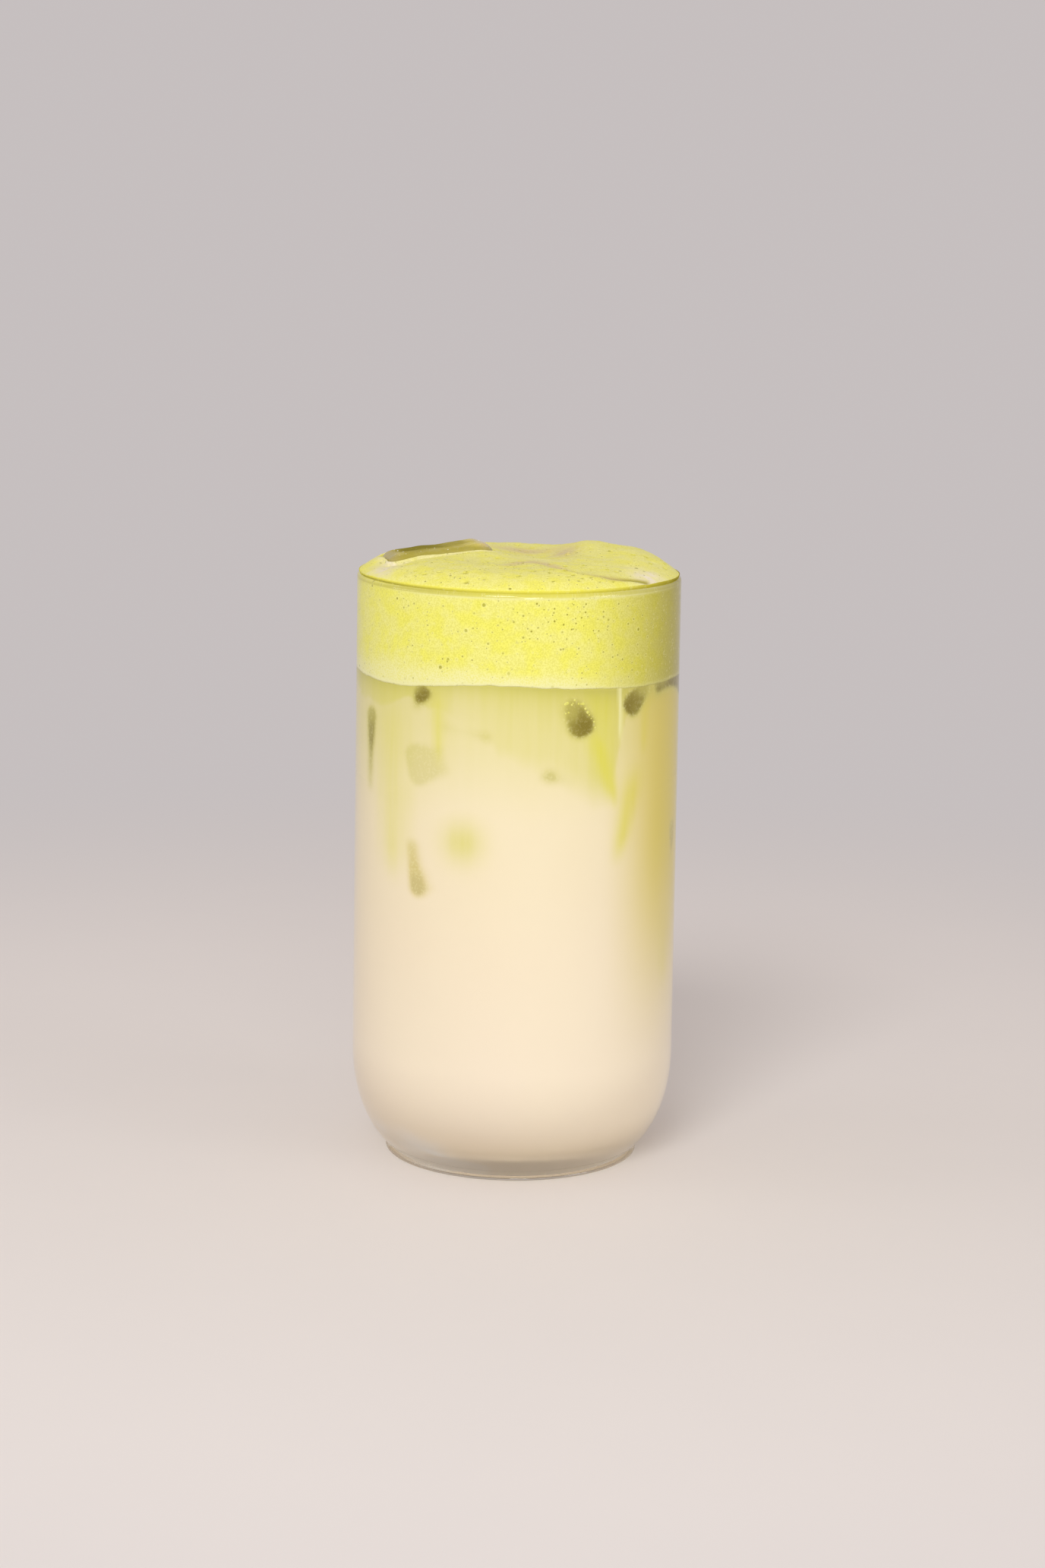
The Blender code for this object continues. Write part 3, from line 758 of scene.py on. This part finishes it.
# The tea. Its outside reaches just into the wall, and is painted with what shows through it.
teaSpec = dict(
    around=360, sideRings=228,
    byHeight=(   # share of the way up to the foam, and the colour there
        (0.0, (0.90, 0.77, 0.60)), (0.06, (0.93, 0.81, 0.65)), (0.2, (0.91, 0.785, 0.61)),
        (0.45, (0.915, 0.785, 0.575)), (0.75, (0.92, 0.80, 0.53)), (1.0, (0.90, 0.80, 0.48)),
    ),
    sunk=0.03 * mm, lineOver=0.15 * mm,   # how far it reaches into the wall, and up into the foam
    bowlRings=40,
    # bearings and widths in degrees, heights and depths in mm
    shadowFrom=0.2, shadowNear=1.6, shadowFar=6, farShare=0.45,
    threadAt=39.3, threadWidth=0.8, threadBend=0.6, bendAt=(110, 116), threadFoot=(103, 108),
    filmLeft=(30, 64), filmRight=(130, 100), filmUp=(20, 85),
    glareAt=-57, glareWidth=24, glareUp=7.6, glareTilt=0.03, glareDepth=2.8,
    ice=(0.20, 0.15, 0.002), iceThin=(0.64, 0.58, 0.13), iceLow=(0.70, 0.58, 0.16), speck=(0.80, 0.74, 0.34),
    clouding=1.0 * mm, cloudingPower=1.15, iceReach=6 * mm,   # how much tea hides the ice, and where to look for it
    cream=(0.95, 0.84, 0.62), veil=(0.71, 0.665, 0.105), drip=(0.77, 0.72, 0.07), film=(0.76, 0.62, 0.13),
    shadow=(0.54, 0.49, 0.10), thread=(0.94, 0.90, 0.46), glare=(0.93, 0.89, 0.86), glow=(0.07, 0.064, 0.058),
)

# Green runs down the wall: bearing and width in degrees, heights in mm. Lean is how far the lower end drifts.
drips = (
    dict(bearing=31, width=6.5, top=118, bottom=98, lean=3, strength=0.55),
    dict(bearing=28, width=4.6, top=110, bottom=88, lean=11, strength=0.95),
    dict(bearing=47.5, width=5.4, top=99, bottom=76, lean=-8, strength=0.95),
    dict(bearing=52.5, width=3.0, top=116, bottom=100, lean=-1, strength=0.75),
    dict(bearing=-52, width=11, top=119, bottom=76, lean=2, strength=0.42),
    dict(bearing=-50, width=11, top=100, bottom=70, lean=1, strength=0.45),
    dict(bearing=-29.5, width=3.4, top=118, bottom=98, lean=1, strength=0.6),
    dict(bearing=69, width=7.0, top=64, bottom=43, lean=0, strength=0.26),
    dict(bearing=104, width=5.0, top=117, bottom=88, lean=3, strength=0.7),
    dict(bearing=146, width=4.5, top=117, bottom=79, lean=-4, strength=0.85),
    dict(bearing=-171, width=7.0, top=117, bottom=95, lean=3, strength=0.7),
    dict(bearing=-140, width=3.6, top=117, bottom=84, lean=2, strength=0.7),
    dict(bearing=-98, width=6.0, top=117, bottom=90, lean=-2, strength=0.5),
)


# The veil that hangs from the foam, low on the front right and thin on the left. Bearings are in degrees and
# lengths in mm. Short, thick and thin are each a bearing and the width about it.
veilSpec = dict(
    aroundScale=0.6, upScale=0.12,   # they draw its noise out up and down the wall
    frontLeft=(-28, -14), frontRight=(44, 34), lowest=(-12, 14),
    reach=6.0, frontReach=7.5, lowestReach=9.0, frayReach=1.5, backReach=4.0, leastReach=1.5,
    short=(-44, 7), shortBy=3.0,
    thickness=0.50, nearFoam=0.42, nearFoamDepth=5, thick=(33, 9), thickBy=0.25, thin=(-20, 9), thinBy=0.2,
    edge=(1.25, 0.75), edgeRough=0.08,
    cloud=0.7, cloudAcross=(-19, 7.5), cloudUp=(81.5, 5.0), haze=0.36, hazeDepth=(34, 8),
)


def veilAt(bearing, z):
    # how green the tea is at each point: the veil, and the runs below it
    s = veilSpec
    degrees = np.degrees(bearing)
    below = (foamLine(bearing) - z) / mm
    flat = np.stack([degrees * s["aroundScale"] * mm, 0 * z, s["upScale"] * z], axis=-1)
    fray = lumps(flat, 5 * mm, 51) + 0.5 * lumps(flat, 1.6 * mm, 52)
    front = smoothstep(*s["frontLeft"], degrees) * smoothstep(*s["frontRight"], degrees)
    reach = s["frontReach"] + s["lowestReach"] * smoothstep(*s["lowest"], degrees)
    reach = s["reach"] + front * reach + s["frayReach"] * fray - s["shortBy"] * bell(degrees, *s["short"])
    reach += s["backReach"] * lumps(flat, 22 * mm, 53) * (np.abs(degrees) > 75)
    reach = np.maximum(reach, s["leastReach"])
    thick = s["thickness"] + s["nearFoam"] * np.exp(-below / s["nearFoamDepth"])
    thick += s["thickBy"] * bell(degrees, *s["thick"]) - s["thinBy"] * bell(degrees, *s["thin"])
    veil = thick * smoothstep(*s["edge"], below / reach + s["edgeRough"] * lumps(flat, 7 * mm, 57))
    drip = np.zeros(len(z))
    for d in drips:
        along = np.clip((d["top"] - z / mm) / (d["top"] - d["bottom"]), -1, 2)
        centre = d["bearing"] + d["lean"] * along
        off = (degrees - centre + 180) % 360 - 180 + 0.8 * lumps(flat, 9 * mm, 54)
        width = d["width"] * (1.05 - 0.55 * np.clip(along, 0, 1) + 0.12 * fray)
        soft = smoothstep(-0.1, 0.35, along) * smoothstep(1.08, 0.7, along)
        drip = np.maximum(drip, d["strength"] * soft * bell(off, 0, np.maximum(width, 0.8)))
    cloud = s["cloud"] * bell(degrees, *s["cloudAcross"]) * bell(z / mm, *s["cloudUp"])
    haze = s["haze"] * smoothstep(*s["hazeDepth"], below)
    return np.clip(np.max([veil, haze, cloud], axis=0), 0, 1), drip


def makeTea(trees):
    s = teaSpec
    around = s["around"]
    sunk = s["sunk"]
    bearing = 2 * np.pi * np.arange(around) / around
    floor = glassSpec["baseThickness"]
    line = foamLine(bearing) + s["lineOver"]
    rings = [ringOf((innerRadius(floor) + sunk) * k, floor - sunk, around) for k in (0.2, 0.5, 0.8, 1.0)]
    for turn in np.linspace(0, np.pi / 2, s["bowlRings"])[1:]:
        z = bowlTop - glassSpec["bowlUp"] * math.cos(turn)
        rings.append(ringOf(innerRadius(z) + sunk, z - sunk * math.cos(turn), around))
    for k in np.linspace(0, 1, s["sideRings"])[1:]:
        z = bowlTop + (line - bowlTop) * k
        rings.append(ringOf(wallRadius(z) - glassSpec["wall"] + sunk, z, around))
    rings += [ringOf(innerRim * k, line, around) for k in (0.97, 0.6, 0.2)]
    mesh = ringSkin("milkTea", rings, (0, 0, floor - sunk), (0, 0, float(line.mean())))
    points = pointsOf(mesh)
    at = bearingOf(points)
    degrees, height = np.degrees(at), points[:, 2] / mm
    # tea over each block of ice dims it, and hides it within a few millimetres
    cover = np.full(len(points), 20 * mm)
    deep = np.ones(len(points))
    for tree, body, ice in trees:
        low, high = body.min(axis=0) - 5 * mm, body.max(axis=0) + 5 * mm
        iceBearing, iceHeight = ice["at"]
        for k in np.flatnonzero(((points > low) & (points < high)).all(axis=1)):
            away = tree.find_nearest(points[k], s["iceReach"])[3]
            if away is not None and away < cover[k]:
                cover[k] = away
                # each is darkest low down and towards one side
                aside = (degrees[k] - iceBearing) * ice.get("darker", 1)
                deep[k] = (iceHeight - height[k]) / 4 + aside / 12
    paint(mesh, "iceShow", bell(cover, 0, s["clouding"], s["cloudingPower"]))
    deep += 0.5 * lumps(points, 2.2 * mm, 55)
    paint(mesh, "iceDeep", smoothstep(-1.3, 0.8, deep))
    veil, drip = veilAt(at, points[:, 2])
    paint(mesh, "veil", veil)
    paint(mesh, "drip", drip)
    # the foam's shadow, which is deepest close under it
    below = foamLine(at) / mm - height
    under = np.maximum(below - s["shadowFrom"], 0)
    side = 0.5 + 0.5 * smoothstep(-30, 60, np.abs(degrees + 30) - 30)
    shadow = side * (np.exp(-under / s["shadowNear"]) + s["farShare"] * np.exp(-under / s["shadowFar"]))
    paint(mesh, "shadow", np.clip(shadow * (below > -s["shadowFrom"]), 0, 1))
    # a thread of foam beside the wedge of ice, and a greener right-hand side from the foam down to the middle
    thread = bell(degrees, s["threadAt"] - s["threadBend"] * smoothstep(*s["bendAt"], height), s["threadWidth"])
    paint(mesh, "thread", thread * smoothstep(*s["threadFoot"], height))
    film = smoothstep(*s["filmLeft"], degrees) * smoothstep(*s["filmRight"], degrees)
    paint(mesh, "film", film * smoothstep(*s["filmUp"], height))
    paint(mesh, "up", (points[:, 2] - floor) / (foamSpec["line"] - floor))
    # a painted reflection on the tea: the thick corner of the glass lights up at the left, and greys the tea's edge
    # beside it
    middle = s["glareUp"] - s["glareTilt"] * (degrees - s["glareAt"])
    glare = bell(degrees, s["glareAt"], s["glareWidth"], 4) * bell(height, middle, s["glareDepth"])
    paint(mesh, "glare", np.clip(glare * (0.8 + 0.5 * lumps(points, 4 * mm, 56)), 0, 1))

    material, n, shader = newMaterial("milkTea")
    ramp = n.add("ShaderNodeValToRGB", {0: n.painted("up")})
    while len(ramp.color_ramp.elements) < len(s["byHeight"]):
        ramp.color_ramp.elements.new(0.5)
    for element, (share, rgb) in zip(ramp.color_ramp.elements, s["byHeight"]):
        element.position, element.color = share, (*rgb, 1)
    swirl = n.patch(38, 3, 0.35, 0.7, (1, 1, 0.55))
    colour = n.mix(n.maths("MULTIPLY", swirl, 0.22), ramp.outputs[0], (*s["cream"], 1))
    streak = n.patch(520, 3, 0.3, 0.7, (1, 1, 0.06))
    veil = n.maths("MULTIPLY", n.painted("veil"), n.level(streak, 0.14, 0.86), True)
    colour = n.mix(veil, colour, (*s["veil"], 1))
    drip = n.maths("MULTIPLY", n.painted("drip"), n.level(streak, 0.25, 0.75), True)
    colour = n.mix(drip, colour, (*s["drip"], 1))
    colour = n.wash(colour, "film", s["film"])
    colour = n.wash(colour, "shadow", s["shadow"], 0.7)
    # painted reflection of the glass's thick corner
    colour = n.wash(colour, "glare", s["glare"], 0.85)
    show = n.painted("iceShow")
    fizz = n.patch(1600, 2, 0.52, 0.66)
    deep = n.maths("MULTIPLY", n.step(show, 0.30, 0.95), n.level(n.painted("iceDeep"), 0.65, 0.35))
    thinIce = n.mix(n.step(n.painted("up"), 0.75, 0.62), (*s["iceThin"], 1), (*s["iceLow"], 1))
    deepIce = n.mix(deep, thinIce, (*s["ice"], 1))
    specks = n.maths("MULTIPLY", fizz, n.step(show, 0.95, 0.5, 0.06, 0.4))
    deepIce = n.mix(specks, deepIce, (*s["speck"], 1))
    colour = n.mix(n.step(show, 0.10, 0.75), colour, deepIce)
    n.feed(shader.inputs["Base Color"], n.wash(colour, "thread", s["thread"], 0.8))
    # a painted glow: emission at the bottom stands for light scattered down through the tea, which shows in the thick
    # base
    bottom = n.step(n.painted("up"), 0.011, 0.0)
    n.feed(shader.inputs["Emission Color"], n.mix(bottom, (0, 0, 0, 1), (*s["glow"], 1)))
    shader.inputs["Emission Strength"].default_value = 1
    n.feed(shader.inputs["Roughness"], n.level(swirl, 0.1, 0.55))
    shader.inputs["Specular IOR Level"].default_value = 0.1
    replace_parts(addPiece("milkTea", mesh, "milk_tea", material), "milk_tea")


# Beads of foam caught on the glass, in a ring round the upper edge of the dark ice on the right.
beadSpec = dict(
    count=16, firstTurn=-25, nextTurn=12.5, turnsBy=4,
    at=(22.6, 110.4), across=3.0, up=4.4, slant=0.35, out=(-0.22, 0.12),
    radius=(0.14, 0.42), thickness=0.07 * mm, offWall=0.02 * mm,
    bright=(0.90, 0.86, 0.22), deep=(0.72, 0.68, 0.10),
)


def makeBeads():
    s = beadSpec
    rng = np.random.default_rng(8)
    places = []
    for k in range(s["count"]):
        turn = math.radians(s["firstTurn"] + s["nextTurn"] * k + rng.uniform(-s["turnsBy"], s["turnsBy"]))
        out = 1 + rng.uniform(*s["out"])
        across, up = s["across"] * math.cos(turn) * out, s["up"] * math.sin(turn) * out
        bearing = math.radians(s["at"][0]) + (across - s["slant"] * up) * mm / innerRim
        height = (s["at"][1] + up) * mm
        radius = mm * rng.uniform(*s["radius"])
        wall = Matrix.Translation((0, -(innerRadius(height) + s["offWall"]), height))
        flat = Matrix.Diagonal((radius, s["thickness"], radius, 1))
        places.append(Matrix.Rotation(bearing, 4, "Z") @ wall @ flat)
    material, n, shader = newMaterial("foamBeads")
    tone = n.patch(700, 1, 0.3, 0.7)
    n.feed(shader.inputs["Base Color"], n.mix(tone, (*s["bright"], 1), (*s["deep"], 1)))
    shader.inputs["Roughness"].default_value = 0.5
    addPiece("foamBeads", ballMesh("foamBeads", places), "matcha_foam", material)


makeTea(makeSunkIce())
makeBeads()
print("tea poured")


# Floor, lights and camera.
stageSpec = dict(
    floorRadius=3.0, floorDrop=0.2 * mm, floor=(0.81, 0.765, 0.73), floorPatch=(0.72, 0.69, 0.67),
    fadeFrom=0.18, fadeTo=0.5, sky=(0.565, 0.523, 0.523),
    lampsAim=0.6,   # how far up the glass the lamps point
    lamps=(
        dict(name="key", bearing=-15, height=42, distance=1.3, size=0.5, power=6.8),
        dict(name="low", bearing=8, height=7, distance=1.5, size=0.5, power=3.0),
        dict(name="side", bearing=-88, height=15, distance=1.3, size=0.6, power=1.2),
        dict(name="fill", bearing=62, height=10, distance=1.4, size=0.6, power=2.4),
    ),
)
cameraSpec = dict(
    distance=0.780, height=0.2395, pitch=10.95, roll=0.90, lens=76.85, shift=0.0041, near=0.01, far=20,
)


def makeStage():
    s = stageSpec
    mesh = bpy.data.meshes.new("floor")
    shape = bmesh.new()
    bmesh.ops.create_circle(shape, cap_ends=True, segments=96, radius=s["floorRadius"])
    shape.to_mesh(mesh)
    shape.free()
    material, n, shader = newMaterial("paleFloor")
    paper = n.maths("MULTIPLY", n.patch(30, 4, 0.3, 0.7), 0.05)
    n.feed(shader.inputs["Base Color"], n.mix(paper, (*s["floor"], 1), (*s["floorPatch"], 1)))
    shader.inputs["Roughness"].default_value = 0.75
    shader.inputs["Specular IOR Level"].default_value = 0.2
    # far off the floor turns into the colour of the room, so that no horizon shows
    away = n.add("ShaderNodeVectorMath", {0: n.here()}, operation="LENGTH").outputs["Value"]
    room = n.add("ShaderNodeEmission", {"Color": (*s["sky"], 1)})
    both = n.add("ShaderNodeMixShader")
    n.feed(both.inputs[0], n.step(away, s["fadeFrom"], s["fadeTo"]))
    n.feed(both.inputs[1], shader.outputs[0])
    n.feed(both.inputs[2], room.outputs[0])
    n.feed(material.node_tree.nodes["Material Output"].inputs[0], both.outputs[0])
    mesh.materials.append(material)
    floor = bpy.data.objects.new("floor", mesh)
    floor.location.z = -s["floorDrop"]
    bpy.context.scene.collection.objects.link(floor)

    world = bpy.data.worlds.new("softRoom")
    world.use_nodes = True
    back = world.node_tree.nodes["Background"]
    back.inputs["Color"].default_value = (*s["sky"], 1)
    bpy.context.scene.world = world
    for given in s["lamps"]:
        lamp = bpy.data.lights.new(given["name"], "AREA")
        lamp.shape = "DISK"
        lamp.size = given["size"]
        lamp.energy = given["power"]
        around, up = math.radians(given["bearing"]), math.radians(given["height"])
        way = Vector((math.sin(around) * math.cos(up), -math.cos(around) * math.cos(up), math.sin(up)))
        holder = bpy.data.objects.new(given["name"], lamp)
        holder.location = Vector((0, 0, rimHeight * s["lampsAim"])) + way * given["distance"]
        holder.rotation_euler = way.to_track_quat("Z", "Y").to_euler()
        bpy.context.scene.collection.objects.link(holder)


def makeCamera():
    s = cameraSpec
    lens = bpy.data.cameras.new("camera")
    lens.lens, lens.shift_x = s["lens"], s["shift"]
    lens.clip_start, lens.clip_end = s["near"], s["far"]
    camera = bpy.data.objects.new("camera", lens)
    place = Matrix.Translation((0, -s["distance"], s["height"]))
    tilt = Matrix.Rotation(math.radians(90 - s["pitch"]), 4, "X")
    camera.matrix_world = place @ tilt @ Matrix.Rotation(math.radians(s["roll"]), 4, "Z")
    bpy.context.scene.collection.objects.link(camera)
    bpy.context.scene.camera = camera


makeStage()
makeCamera()
bpy.context.scene.view_settings.view_transform = "Standard"
bpy.context.scene.cycles.transmission_bounces = 16
bpy.context.scene.cycles.max_bounces = 20
print("stage set")
